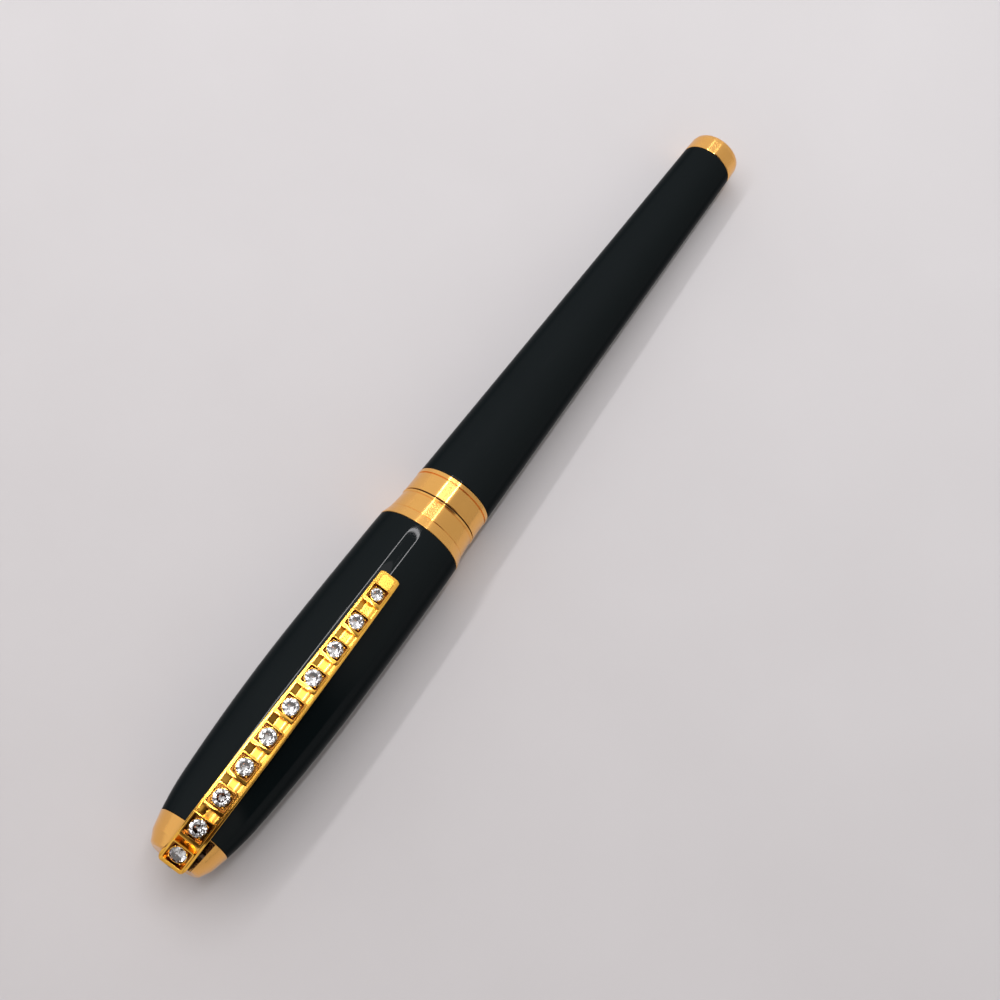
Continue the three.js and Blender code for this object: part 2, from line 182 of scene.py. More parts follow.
def node_profile(node):
    """The outline of a turned CAD node, read off the edges of one of its columns.

    Returns (points, closed), with points as (x, radius) in millimetres. An open outline starts and ends
    on the axis.
    """
    mesh = NODES[node].data
    co = np.array([v.co for v in mesh.vertices], float).reshape(-1, 3)
    co = (co - np.array([CROWN_X, 0, AXIS_Z])) / MM
    keys = [tuple(k) for k in np.round(co, 3)]
    radius = np.hypot(co[:, 1], co[:, 2])
    angle = np.degrees(np.arctan2(co[:, 1], -co[:, 2]))
    outer = radius > 0.01
    sides = len(set(np.round(angle[outer] % 360, 0)))
    column = min(angle[outer], key=abs)
    chosen = outer & (abs(angle - column) < 0.6)
    on_column = {k: (x, r) for k, x, r, ok in zip(keys, co[:, 0], radius, chosen) if ok}
    shrink = math.cos(math.pi / sides)
    links = {}
    for edge in mesh.edges:
        a, b = (keys[v] for v in edge.vertices)
        if a != b and a in on_column and b in on_column:
            links.setdefault(a, set()).add(b)
            links.setdefault(b, set()).add(a)
    for k in on_column:
        links.setdefault(k, set())
    loose = {}
    for k in sorted(on_column, key=lambda k: (k[0], -on_column[k][1])):
        if len(links[k]) < 2:
            loose.setdefault(round(k[0], 2), []).append(k)
    ends = []
    for group in loose.values():
        for a, b in zip(group[::2], group[1::2]):
            links[a].add(b)
            links[b].add(a)
        if len(group) % 2:
            ends.append(group[-1])
    closed = not ends
    here = min(ends or on_column, key=lambda k: k[0])
    path = [here]
    seen = {here}
    while True:
        further = [k for k in links[path[-1]] if k not in seen]
        if not further:
            break
        step = max(further, key=lambda k: on_column[k][1])
        path.append(step)
        seen.add(step)
    points = [(on_column[k][0], on_column[k][1] * shrink) for k in path]
    if not closed:
        points = [(points[0][0], 0.0), *points, (points[-1][0], 0.0)]
    return points, closed


def smoothed(points, closed, gentle=9, steps=5):
    """The outline with its gentle bends drawn as curves. Sharper corners and short steps stay."""
    p = [np.array(q, float) for q in points]
    n = len(p)

    def heading(i):
        """The direction of the curve at a gentle bend, or None at a corner."""
        if not closed and i in (0, n - 1):
            return None
        before = p[i] - p[i - 1]
        after = p[(i + 1) % n] - p[i]
        turn = math.degrees(abs(math.atan2(before[0] * after[1] - before[1] * after[0], before @ after)))
        sizes = sorted((np.linalg.norm(before), np.linalg.norm(after)))
        if turn > gentle or sizes[1] > 4 * sizes[0]:
            return None
        d = before / np.linalg.norm(before) + after / np.linalg.norm(after)
        return d / np.linalg.norm(d)

    out = []
    for i in range(n if closed else n - 1):
        a, b = p[i], p[(i + 1) % n]
        chord = b - a
        size = np.linalg.norm(chord)
        start, end = heading(i), heading((i + 1) % n)
        out.append(a)
        if size < 0.6 or (start is None and end is None):
            continue
        start = chord / size if start is None else start
        end = chord / size if end is None else end
        for k in range(1, steps):
            t = k / steps
            out.append(
                (2 * t**3 - 3 * t**2 + 1) * a
                + (t**3 - 2 * t**2 + t) * size * start
                + (3 * t**2 - 2 * t**3) * b
                + (t**3 - t**2) * size * end
            )
    if not closed:
        out.append(p[-1])
    return out


def filleted(points, closed, radius, corner=12):
    """The outline with its corners rounded, and a support point on each side of every rounding."""
    p = [np.array(q, float) for q in points]
    n = len(p)
    out = []
    for i in range(n):
        if not closed and i in (0, n - 1):
            out.append(p[i])
            continue
        back, ahead = p[i - 1] - p[i], p[(i + 1) % n] - p[i]
        lb, la = np.linalg.norm(back), np.linalg.norm(ahead)
        back, ahead = back / lb, ahead / la
        turn = math.pi - math.acos(max(-1.0, min(1.0, back @ ahead)))
        if math.degrees(turn) < corner:
            out.append(p[i])
            continue
        cut = min(radius * math.tan(turn / 2), 0.35 * lb, 0.35 * la)
        spare = min(cut + 0.03, 0.45 * lb, 0.45 * la)
        out.append(p[i] + back * spare)
        steps = max(2, round(math.degrees(turn) / 22))
        for k in range(steps + 1):
            t = k / steps
            out.append(p[i] + back * cut * (1 - t) ** 2 + ahead * cut * t**2)
        out.append(p[i] + ahead * spare)
    return out


def turned(name, points, closed, sides=SIDES):
    """A solid of revolution about the pen's axis."""
    verts, faces, rings = [], [], []
    for x, r in points:
        if r < 1e-6:
            rings.append([len(verts)])
            verts.append((x, 0, 0))
            continue
        rings.append(list(range(len(verts), len(verts) + sides)))
        for k in range(sides):
            a = 2 * math.pi * k / sides
            verts.append((x, r * math.sin(a), r * math.cos(a)))
    pairs = list(zip(rings, rings[1:]))
    if closed:
        pairs.append((rings[-1], rings[0]))
    for a, b in pairs:
        for k in range(sides):
            j = (k + 1) % sides
            quad = [a[k % len(a)], a[j % len(a)], b[j % len(b)], b[k % len(b)]]
            face = [v for i, v in enumerate(quad) if v not in quad[:i]]
            if len(face) > 2:
                faces.append(face)
    return new_object(name, verts, faces)


def round_piece(node, look, fillet=0.05, sides=SIDES, reshape=None):
    """The finely turned twin of a round CAD node."""
    points, closed = node_profile(node)
    points = smoothed(points, closed)
    if reshape:
        points = [reshape(x, r) for x, r in points]
    points = filleted(points, closed, fillet)
    return stand_for(turned(f"{node}_look", points, closed, sides), node, look)


def combine(obj, other, operation):
    """Adds the other mesh to obj or cuts it away, and removes the other."""
    cut = obj.modifiers.new("cut", "BOOLEAN")
    cut.operation = operation
    cut.solver = "MANIFOLD"
    cut.object = other
    bpy.context.view_layer.update()
    evaluated = obj.evaluated_get(bpy.context.evaluated_depsgraph_get())
    mesh = bpy.data.meshes.new_from_object(evaluated)
    obj.modifiers.clear()
    obj.data = mesh
    bpy.data.objects.remove(other)
    return obj


def cross_bar(name, radius, half, x, z, sides=48):
    """A round bar across the pen."""
    rings = []
    for y in (-half, half):
        rings.append([(x + radius * math.cos(a), y, z + radius * math.sin(a))
                      for a in np.linspace(0, 2 * math.pi, sides, endpoint=False)])
    return new_object(name, *skin(rings))


def skin(rings):
    """One closed skin over rings of points, all of the same count: (points, faces)."""
    count = len(rings[0])
    points = [p for ring in rings for p in ring]
    faces = []
    for i in range(len(rings) - 1):
        for j in range(count):
            k = (j + 1) % count
            faces.append((i * count + j, i * count + k, (i + 1) * count + k, (i + 1) * count + j))
    faces.append(range(count))
    faces.append(range((len(rings) - 1) * count, len(rings) * count))
    return points, faces


# The clip's middle line


def spline(points, per_span=60):
    """A uniform Catmull-Rom curve through the points, finely sampled."""
    p = np.asarray(points, float)
    last = len(p) - 1
    out = []
    for i in range(last):
        p0, p1, p2, p3 = p[max(i - 1, 0)], p[i], p[i + 1], p[min(i + 2, last)]
        v0, v1 = (p2 - p0) / 2, (p3 - p1) / 2
        for t in np.linspace(0, 1, per_span, endpoint=False):
            out.append(
                (2 * p1 - 2 * p2 + v0 + v1) * t**3 + (-3 * p1 + 3 * p2 - 2 * v0 - v1) * t**2 + v0 * t + p1
            )
    out.append(p[last])
    return np.array(out)


CLIP_LINE = spline(CLIP_POINTS)
CLIP_STATIONS = np.concatenate([[0], np.cumsum(np.linalg.norm(np.diff(CLIP_LINE, axis=0), axis=1))])
CLIP_LENGTH = CLIP_STATIONS[-1]
CLIP_HEADINGS = np.gradient(CLIP_LINE, CLIP_STATIONS, axis=0)


def clip_frame(s):
    """The clip's axes at a length along its middle line: (origin, along, across, out of the top face)."""
    x, z = (np.interp(s, CLIP_STATIONS, CLIP_LINE[:, k]) for k in (0, 1))
    tx, tz = (np.interp(s, CLIP_STATIONS, CLIP_HEADINGS[:, k]) for k in (0, 1))
    size = math.hypot(tx, tz)
    along = np.array([tx / size, 0, tz / size])
    return np.array([x, 0, z]), along, np.array([0.0, 1.0, 0.0]), np.array([-along[2], 0, along[0]])


def on_clip(s, local):
    """Points given as (along, across, out) at a length s of the clip, in the pen's millimetres."""
    origin, along, across, out = clip_frame(s)
    p = np.asarray(local, float)
    return origin + p[:, :1] * along + p[:, 1:2] * across + p[:, 2:3] * out


def stone_station(i):
    return CLIP_LENGTH - LAST_STONE_TO_TIP - STONE_PITCH * i


def box_size(i):
    return FIRST_BOX + BOX_STEP * i


def rounded_square(half, corner, z, count=64):
    """A ring of points round a square with rounded corners; corner = half makes it a circle."""
    ring = []
    for k in range(count):
        a = 2 * math.pi * (k + 0.5) / count
        c, s = math.cos(a), math.sin(a)
        flat = half - corner
        big, small = max(abs(c), abs(s)), min(abs(c), abs(s))
        reach = half / big
        if small * reach > flat:
            b = flat * (big + small)
            reach = b + math.sqrt(max(b * b - 2 * flat * flat + corner * corner, 0))
        ring.append((reach * c, reach * s, z))
    return ring


# Materials


class Look:
    """A principled material and short ways to add nodes to it. Its coordinates are the frame's metres."""

    def __init__(self, name, roughness, metallic=0.0):
        self.material = bpy.data.materials.new(name)
        self.material.use_nodes = True
        self.tree = self.material.node_tree
        self.shader = self.tree.nodes["Principled BSDF"]
        self.shader.inputs["Metallic"].default_value = metallic
        self.shader.inputs["Roughness"].default_value = roughness
        self.place = self.node("ShaderNodeTexCoord").outputs["Object"]

    def node(self, kind, **settings):
        made = self.tree.nodes.new(kind)
        for key, value in settings.items():
            setattr(made, key, value)
        return made

    def link(self, output, node, socket):
        self.tree.links.new(output, node.inputs[socket])

    def noise(self, scale, detail=2.0, stretch=(1, 1, 1), distortion=0.0):
        mapping = self.node("ShaderNodeMapping")
        mapping.inputs["Scale"].default_value = stretch
        self.link(self.place, mapping, "Vector")
        made = self.node("ShaderNodeTexNoise")
        made.inputs["Scale"].default_value = scale
        made.inputs["Detail"].default_value = detail
        made.inputs["Distortion"].default_value = distortion
        self.link(mapping.outputs["Vector"], made, "Vector")
        return made.outputs["Fac"]

    def spread(self, value, low, high, to_low, to_high):
        """value's range low..high stretched to to_low..to_high, and clamped there."""
        made = self.node("ShaderNodeMapRange")
        ranges = {"From Min": low, "From Max": high, "To Min": to_low, "To Max": to_high}
        for socket, number in ranges.items():
            made.inputs[socket].default_value = number
        self.link(value, made, "Value")
        return made.outputs["Result"]

    def add(self, a, b):
        made = self.node("ShaderNodeMath", operation="ADD")
        self.link(a, made, 0)
        self.link(b, made, 1)
        return made.outputs["Value"]

    def mix(self, factor, first, second):
        """A blend from first to second, each a colour or another node's output."""
        made = self.node("ShaderNodeMix", data_type="RGBA")
        self.link(factor, made, "Factor")
        for socket, colour in (("A", first), ("B", second)):
            if isinstance(colour, tuple):
                made.inputs[socket].default_value = (*colour, 1)
            else:
                self.link(colour, made, socket)
        return made.outputs["Result"]

    def colours(self, factor, first, second):
        self.link(self.mix(factor, first, second), self.shader, "Base Color")

    def roughness(self, value):
        self.link(value, self.shader, "Roughness")

    def slope(self, direction, low, high):
        """0 to 1 from low to high, in metres, along a direction."""
        dot = self.node("ShaderNodeVectorMath", operation="DOT_PRODUCT")
        dot.inputs[1].default_value = direction
        self.link(self.place, dot, 0)
        return self.spread(dot.outputs["Value"], low, high, 0.0, 1.0)

    def bump(self, height, distance):
        """A raised pattern, with height from 0 to 1 standing for distance metres."""
        made = self.node("ShaderNodeBump")
        made.inputs["Distance"].default_value = distance
        self.link(height, made, "Height")
        self.link(made.outputs["Normal"], self.shader, "Normal")

    def scratches(self, direction, density, share):
        """Fine lines, 1 on a line and 0 off it. direction is the axis that they run along."""
        stretch = [1.0 if axis != direction else 0.02 for axis in "xyz"]
        lines = self.noise(density, 1.0, stretch, 0.4)
        return self.spread(lines, 0.5 + share, 0.56 + share, 0.0, 1.0)


def metal(name, first, second, low, high, scratch=0.06, grain=0.0):
    """Polished metal: cloudy colour, smudges in the gloss, hairline scratches and a faint grain."""
    look = Look(name, low, 1.0)
    look.colours(look.noise(260, 3), first, second)
    smudges = look.spread(look.noise(170, 4), 0.35, 0.7, low, high)
    hairlines = look.scratches("x", 5200, 0.17)
    look.roughness(look.add(smudges, look.spread(hairlines, 0, 1, 0, scratch)))
    if grain:
        look.bump(look.noise(2600, 3), grain)
    return look


def turned_metal(name, first, second, low, high, across):
    """Metal turned on a lathe: its gloss spreads along the pen, over fine grooves that run round it."""
    look = metal(name, first, second, low, high, 0.015)
    grooves = look.noise(9000, 2, (1, 0.004, 0.004))
    look.bump(grooves, 0.6e-7)
    tangent = look.node("ShaderNodeTangent", direction_type="RADIAL", axis="X")
    look.link(tangent.outputs["Tangent"], look.shader, "Tangent")
    look.shader.inputs["Anisotropic"].default_value = across
    look.shader.inputs["Anisotropic Rotation"].default_value = 0.25
    return look


def painted_hollow_shade(look, reach, first, second):
    """Painted shade: the metal's colour is darkened to brown in its corners and hollows, up to reach metres
    deep, where ambient occlusion finds them.
    """
    hollow = look.node("ShaderNodeAmbientOcclusion", samples=8)
    hollow.inputs["Distance"].default_value = reach
    open_share = look.spread(hollow.outputs["AO"], 0.25, 0.8, 0.0, 1.0)
    unshaded = look.shader.inputs["Base Color"].links[0].from_socket
    look.colours(open_share, look.mix(look.noise(1200, 3), first, second), unshaded)
    return look


def lacquer_look():
    """Deep black lacquer: a mirror gloss with a trace of orange peel, dust pits and polishing hairlines."""
    look = Look("lacquer", 0.03)
    look.shader.inputs["IOR"].default_value = 1.22
    edge = look.node("ShaderNodeLayerWeight")
    look.link(look.spread(edge.outputs["Facing"], 0.12, 0.5, 0.5, 0.03), look.shader, "Specular IOR Level")
    look.colours(look.noise(90, 3), (0.0030, 0.0052, 0.0060), (0.0044, 0.0070, 0.0078))
    hairlines = look.scratches("x", 4200, 0.18)
    smudges = look.spread(look.noise(120, 4), 0.4, 0.75, 0.02, 0.07)
    look.roughness(look.add(smudges, look.spread(hairlines, 0, 1, 0, 0.12)))
    look.bump(look.noise(700, 2), 3.0e-7)
    return look


def plastic_look(name, first, second, roughness, ior=1.46):
    """Moulded plastic: an even colour with slight clouding and a fine mould texture."""
    look = Look(name, roughness)
    look.shader.inputs["IOR"].default_value = ior
    look.colours(look.noise(300, 3), first, second)
    hairlines = look.scratches("x", 3800, 0.16)
    gloss = look.spread(look.noise(400, 4), 0.3, 0.7, roughness * 0.8, roughness * 1.2)
    look.roughness(look.add(gloss, look.spread(hairlines, 0, 1, 0, 0.1)))
    look.bump(look.noise(3500, 3), 2.0e-6)
    return look


def stone_look(name, first, second, ior, clear):
    """A cut stone, with a little cloud inside its colour and rubbed facet edges."""
    look = Look(name, 0.0)
    look.shader.inputs["IOR"].default_value = ior
    look.shader.inputs["Transmission Weight"].default_value = clear
    look.colours(look.noise(900, 2), first, second)
    look.roughness(look.spread(look.noise(1500, 3), 0.55, 0.8, 0.0, 0.03))
    return look


GOLD = ((0.94, 0.485, 0.125), (0.97, 0.52, 0.145), 0.19, 0.22, 1.0)
YELLOW_GOLD = ((0.95, 0.50, 0.075), (0.99, 0.54, 0.09), 0.16, 0.20, 0.8)
# Painted shade colours for hollows: brown in the clip's wells and corners, near black in the crown's slot.
HOLLOW_SHADE_BROWN = ((0.10, 0.022, 0.006), (0.22, 0.05, 0.01))
HOLLOW_SHADE_DARK = ((0.012, 0.005, 0.003), (0.035, 0.012, 0.006))
gold_turned = turned_metal("gold_turned", *GOLD).material
# The crown and the clip get painted shade darkened into their hollows.
gold_crown = painted_hollow_shade(turned_metal("gold_crown", *GOLD), 0.0028, *HOLLOW_SHADE_DARK).material
gold_clip = painted_hollow_shade(turned_metal("gold_clip", *YELLOW_GOLD), 0.0007, *HOLLOW_SHADE_BROWN).material
# The pin's steel is painted almost black: painted shade where it shows in the crown's slot.
pin_steel_painted_shade = metal("pin_steel_painted_shade", (0.035, 0.022, 0.015), (0.06, 0.04, 0.03), 0.35, 0.45, 0.1).material
steel = metal("steel", (0.55, 0.56, 0.57), (0.66, 0.66, 0.66), 0.2, 0.3, 0.1, 4.0e-7).material
brass = turned_metal("brass", (0.62, 0.42, 0.16), (0.72, 0.5, 0.22), 0.2, 0.32, 0.6).material
lacquer = lacquer_look().material
black_plastic = plastic_look("black_plastic", (0.008, 0.0085, 0.009), (0.016, 0.017, 0.018), 0.35).material
white_plastic = plastic_look("white_plastic", (0.66, 0.65, 0.61), (0.74, 0.73, 0.7), 0.45).material
rubber = plastic_look("rubber", (0.006, 0.006, 0.006), (0.014, 0.014, 0.013), 0.8).material
ink_fibre = plastic_look("ink_fibre", (0.008, 0.012, 0.09), (0.02, 0.03, 0.16), 0.85).material
clear_stone = stone_look("clear_stone", (0.97, 0.95, 0.96), (1.0, 1.0, 1.0), 2.42, 1.0).material
dark_stone = stone_look("dark_stone", (0.01, 0.004, 0.003), (0.03, 0.012, 0.01), 1.6, 0.2).material


# The cap


def buffed_end(x, r):
    """The lacquer rolls off gently towards the mouth ring, where it is buffed down."""
    past = max(0.0, x - LACQUER_ROLL_START)
    return (x, r - past * past / (2 * LACQUER_ROLL_RADIUS)) if r > LACQUER_OUTSIDE else (x, r)


def deep_grooves(x, r):
    """The fine lines turned into the gold bands, cut deeper than the CAD part's."""
    in_line = min(abs(x - at) for at in GROOVES) < GROOVE_REACH
    low, high = GROOVE_BOTTOMS
    return (x, r - GROOVE_DEEPER_BY) if in_line and low < r < high else (x, r)


def closed_gap(x, r):
    """The barrel's front ring, drawn nearer to the cap's mouth."""
    return deep_grooves(x - GAP_NARROWED_BY if x < RING_FACE_END else x, r)


def crown():
    """The gold crown, with the clip's slot, the pin's hole and its edges softened."""
    points, closed = node_profile("cap_crown")
    made = turned("cap_crown_look", filleted(smoothed(points, closed), closed, 0.09), closed)
    plan = [
        (-1, SLOT_HALF),
        (-1, -SLOT_HALF),
        (SLOT_END, -SLOT_HALF - SLOT_WIDENS_BY),
        (SLOT_END, SLOT_UPPER),
        (SLOT_UPPER_START, SLOT_UPPER),
    ]
    slot = skin([[(x, y, z) for x, y in plan] for z in (SLOT_FLOOR, 8)])
    combine(made, new_object("slot", *slot), "DIFFERENCE")
    combine(made, cross_bar("pin_hole", PIN_R + 0.04, 3.15, *PIN), "DIFFERENCE")
    edges = made.modifiers.new("edges", "BEVEL")
    edges.width = 0.05 * MM
    edges.segments = 2
    edges.limit_method = "ANGLE"
    edges.angle_limit = math.radians(50)
    shade(made.data, 30)
    turn = Matrix.Rotation(math.radians(CROWN_TURN), 4, "X")
    made.data.transform(Matrix.Translation((0, 0, AXIS_Z)) @ turn @ Matrix.Translation((0, 0, -AXIS_Z)))
    return stand_for(made, "cap_crown", gold_crown)


def clip_width(s):
    """The clip's width at a length s: it tapers to the free end, and both ends are rounded off."""
    to_tip = CLIP_LENGTH - s
    taper = 3.1 + 1.2 * min(1, to_tip / 30) ** 0.8
    nose = math.sqrt(1 - ((2.8 - s) / 3.3) ** 2) if s < 2.8 else 1
    tip = math.sqrt(1 - ((0.35 - to_tip) / 0.48) ** 2) if to_tip < 0.35 else 1
    return taper * nose * tip


def trough_share(s):
    """How much of its depth the trough has at a length s: it runs out at both ends of the clip."""
    from_nose = min(1, max(0, (s - 2.5) / 0.5))
    from_tip = min(1, max(0, (CLIP_LENGTH - s - 2.2) / 0.5))
    return from_nose * from_tip


def trough_deeper(s):
    """The trough is deepest between the two stones nearest the crown."""
    middle = stone_station(STONES - 1) + STONE_PITCH / 2
    return min(1, max(0, (1.6 - abs(s - middle)) / 0.4))


def clip_section(s):
    """The clip's outline across the pen at a length s: two rails, and a trough deepest towards +Y."""
    half = clip_width(s) / 2
    past_nose = min(1, max(0, (s - 2.6) / 0.8))
    to_tip = min(1, (CLIP_LENGTH - s) / 12)
    upper_half = half - UPPER_TRIM * past_nose * to_tip
    share = trough_share(s)
    under = NOSE_THICK + (CLIP_THICK - NOSE_THICK) * min(1, max(0, (s - 2) / 2))
    depth = TROUGH_DEPTH + TROUGH_DEEPER_BY * trough_deeper(s)

    def side(half):
        """One edge of the clip, from its underside up to the rail's top."""
        edge = [(half - 0.1, -under), (half - 0.02, -under + 0.06), (half, -0.3), (half, -0.07)]
        turns = np.radians((25, 50, 75, 90))
        return edge + [(half - 0.06 * (1 - math.cos(a)), -0.07 + 0.07 * math.sin(a)) for a in turns]

    upper, lower = upper_half - UPPER_RAIL, LOWER_RAIL - half
    foot = min(TROUGH_MIDDLE, upper - 0.3)
    floor = [(upper + 0.04, 0.0), (upper, -0.05 * share)]
    for y in np.linspace(foot, lower, 22):
        z = TROUGH_BEND * (y - TROUGH_MIDDLE) ** 2 - depth
        floor.append((y, min(z, -0.04) * share))
    floor.append((lower - 0.04, 0.0))
    return side(upper_half) + floor + [(-y, z) for y, z in side(half)[::-1]]


def clip_bar():
    """The clip's bar, with closer sections near its two ends."""
    nose = np.linspace(0, 3, 40)
    middle = np.linspace(3.1, CLIP_LENGTH - 3.1, 150)
    tip = np.linspace(CLIP_LENGTH - 3, CLIP_LENGTH, 40)
    stations = np.concatenate([nose, middle, tip])
    rings = [on_clip(s, [(0, y, z) for y, z in clip_section(s)]) for s in stations]
    return new_object("clip_look", *skin(rings))


def merged(name, parts):
    """One mesh object from several (points, faces) parts that don't touch each other."""
    points, faces = [], []
    for part_points, part_faces in parts:
        start = len(points)
        points += [tuple(p) for p in part_points]
        faces += [[v + start for v in f] for f in part_faces]
    return new_object(name, points, faces)


def stone_radius(i):
    """The stones are alike but for the ones by the free end, which are smaller."""
    return STONE_R - 0.3 * 0.45**i


def on_stone(i, rings):
    """One skin over rings drawn about a stone's own axis."""
    return skin([on_clip(stone_station(i), ring) for ring in rings])


def setting(i):
    """A stone's square box, outside: its lip is thicker on the crown's side."""
    half = box_size(i) / 2
    rings = [
        rounded_square(half + 0.06, 0.25, -0.9),
        rounded_square(half + 0.01, 0.25, BOX_RISE - 0.07),
        rounded_square(half - 0.02, 0.24, BOX_RISE - 0.02),
        rounded_square(half - 0.07, 0.22, BOX_RISE),
    ]
    longer = [[(a - BOX_TAIL if a < 0 else a, y, z) for a, y, z in ring] for ring in rings]
    return on_stone(i, longer)


def well(i):
    """The square well in a stone's box."""
    hole = box_size(i) / 2 - BOX_LIP
    return on_stone(i, [
        rounded_square(hole + 0.05, 0.14, BOX_RISE + 0.2),
        rounded_square(hole + 0.04, 0.14, BOX_RISE + 0.01),
        rounded_square(hole + 0.01, 0.12, BOX_RISE - 0.03),
        rounded_square(hole, 0.1, BOX_RISE - WELL_DEPTH),
    ])


def collar(i):
    """The round collar that the stone sits in, standing in the well."""
    r = stone_radius(i)
    return on_stone(i, [
        rounded_square(r + 0.13, r + 0.13, BOX_RISE - WELL_DEPTH - 0.1),
        rounded_square(r + 0.12, r + 0.12, GIRDLE - 0.02),
        rounded_square(r + 0.08, r + 0.08, GIRDLE + 0.03),
        rounded_square(r + 0.03, r + 0.03, GIRDLE + 0.04),
    ])


def seat(i):
    """What is cut out of the collar for the stone: a cone, open at its rim."""
    r = stone_radius(i)
    return on_stone(i, [
        rounded_square(r + 0.01, r + 0.01, GIRDLE + 0.3),
        rounded_square(r + 0.01, r + 0.01, GIRDLE - 0.06),
        rounded_square(0.1, 0.1, -1.1),
    ])


def bead(i, a, b):
    """One of the four grains of metal that hold a stone by its rim."""
    reach = (stone_radius(i) + 0.1) / math.sqrt(2)
    size = 0.17
    rings = []
    for k in range(1, 8):
        angle = math.pi * k / 8
        rings.append([(a * reach + size * math.sin(angle) * math.cos(t),
                       b * reach + size * math.sin(angle) * math.sin(t),
                       GIRDLE + 0.08 - size * math.cos(angle))
                      for t in np.linspace(0, 2 * math.pi, 16, endpoint=False)])
    return on_stone(i, rings)


def clip_lug():
    """The block under the clip that the pin goes through."""
    x, z = PIN
    outline = [(x - 1.1, z - 0.8), (x + 1.1, z - 0.8), (x + 1.1, 5.7), (x - 1.1, 4.1)]
    return skin([[(px, y, pz) for px, pz in outline] for y in (-1.5, 1.5)])


def clip_pad():
    """The rounded foot under the free end, which presses on the cap."""
    rings = []
    for z, size in ((1.5, 0.9), (0.12, 0.95), (0.0, 0.85), (-0.05, 0.6)):
        rings.append([(45.3 + p[0], p[1], 6.99 + z) for p in rounded_square(size, 0.5 * size, 0, 32)])
    return skin(rings)


def clip():
    """The clip's bar, joined to its lug, pad, boxes, collars and beads."""
    made = clip_bar()
    combine(made, merged("lug_and_pad", [clip_lug(), clip_pad()]), "UNION")
    combine(made, cross_bar("pin_hole", PIN_R + 0.05, 4, *PIN), "DIFFERENCE")
    combine(made, merged("boxes", [setting(i) for i in range(STONES)]), "UNION")
    combine(made, merged("wells", [well(i) for i in range(STONES)]), "DIFFERENCE")
    combine(made, merged("collars", [collar(i) for i in range(STONES)]), "UNION")
    combine(made, merged("seats", [seat(i) for i in range(STONES)]), "DIFFERENCE")
    corners = [(a, b) for a in (1, -1) for b in (1, -1)]
    combine(made, merged("beads", [bead(i, a, b) for i in range(STONES) for a, b in corners]), "UNION")
    nose_seat = [on_clip(NOSE_STONE_AT, rounded_square(0.52, 0.52, z, 32)) for z in (-0.4, 0.5)]
    combine(made, new_object("nose_seat", *skin(nose_seat)), "DIFFERENCE")
    shade(made.data, 28)
    return stand_for(made, "clip", gold_clip)


def brilliant(name, s, radius, turned_by, pavilion=0.72, crown_height=0.28, table=0.56):
    """A round brilliant: a table, stars, kites and halves over the girdle, and mains and halves under it."""
    points = []
    faces = []

    def ring(count, reach, z, turn):
        start = len(points)
        for k in range(count):
            a = 2 * math.pi * (k + turn) / count + turned_by
            points.append((reach * radius * math.cos(a), reach * radius * math.sin(a), GIRDLE + z * radius))
        return [start + k for k in range(count)]

    def main_height(reach, inner, rise):
        """The height of a kite's side corners, so that the kite is flat."""
        return rise * (1 - reach * math.cos(math.pi / 8)) / (1 - inner)

    top = ring(8, table, crown_height, 0)
    upper = ring(8, 0.79, main_height(0.79, table, crown_height), 0.5)
    rim = ring(16, 1, 0, 0)
    under = ring(16, 1, -0.05, 0)
    lower = ring(8, 0.32, -0.05 - main_height(0.32, 0, pavilion), 0.5)
    culet = ring(8, 0.02, -0.05 - pavilion * 0.98, 0)
    faces.append(top)
    faces.append(culet[::-1])
    for k in range(8):
        j = (k + 1) % 8
        faces.append((top[k], upper[k], top[j]))
        faces.append((top[k], upper[k - 1], rim[2 * k], upper[k]))
        faces.append((upper[k], rim[2 * k], rim[2 * k + 1]))
        faces.append((upper[k], rim[2 * k + 1], rim[2 * j]))
        faces.append((lower[k], under[2 * k + 1], under[2 * k]))
        faces.append((lower[k], under[2 * j], under[2 * k + 1]))
        faces.append((culet[k], lower[k - 1], under[2 * k], lower[k]))
        faces.append((culet[k], lower[k], culet[j]))
    for k in range(16):
        j = (k + 1) % 16
        faces.append((rim[k], under[k], under[j], rim[j]))
    return new_object(name, on_clip(s, points), faces, smooth=1)


def stones():
    for i in range(STONES):
        node = f"clip_stone_{i + 1:02d}"
        made = brilliant(f"{node}_look", stone_station(i), stone_radius(i), 0.7 * i)
        stand_for(made, node, clear_stone)


def nose_stone():
    """The small dark cabochon at the clip's nose."""
    r = NOSE_STONE_R
    rings = [rounded_square(r, r, z, 40) for z in (-0.36, -0.06)]
    for a in np.radians((15, 30, 45, 60, 75, 86)):
        rings.append(rounded_square(r * math.cos(a), r * math.cos(a), -0.06 + 0.13 * math.sin(a), 40))
    made = new_object("clip_nose_stone_look", *skin([on_clip(NOSE_STONE_AT, ring) for ring in rings]))
    stand_for(made, "clip_nose_stone", dark_stone)


def carried_over(node, look):
    """A CAD node that is shown as it is, with a material on it."""
    obj = NODES[node]
    obj.data.materials.clear()
    obj.data.materials.append(look)


# The whole pen

round_piece("cap_shell", lacquer, 0.06, reshape=buffed_end)
round_piece("cap_mouth_ring", gold_turned, 0.03, reshape=deep_grooves)
crown()
round_piece("crown_screw", steel)
round_piece("inner_cap", black_plastic)
round_piece("cap_snap_ring", steel)
clip()
stones()
nose_stone()
# The pin wears steel painted almost black, as painted shade.
carried_over("clip_pin", pin_steel_painted_shade)
carried_over("clip_spring", steel)

round_piece("grip_section", black_plastic, 0.15)
round_piece("nose_cone", gold_turned, 0.08)
round_piece("catch_ring", gold_turned)
round_piece("section_ring", rubber)
round_piece("thread_bush", brass, 0.02)
round_piece("barrel_washer", rubber, 0.03)

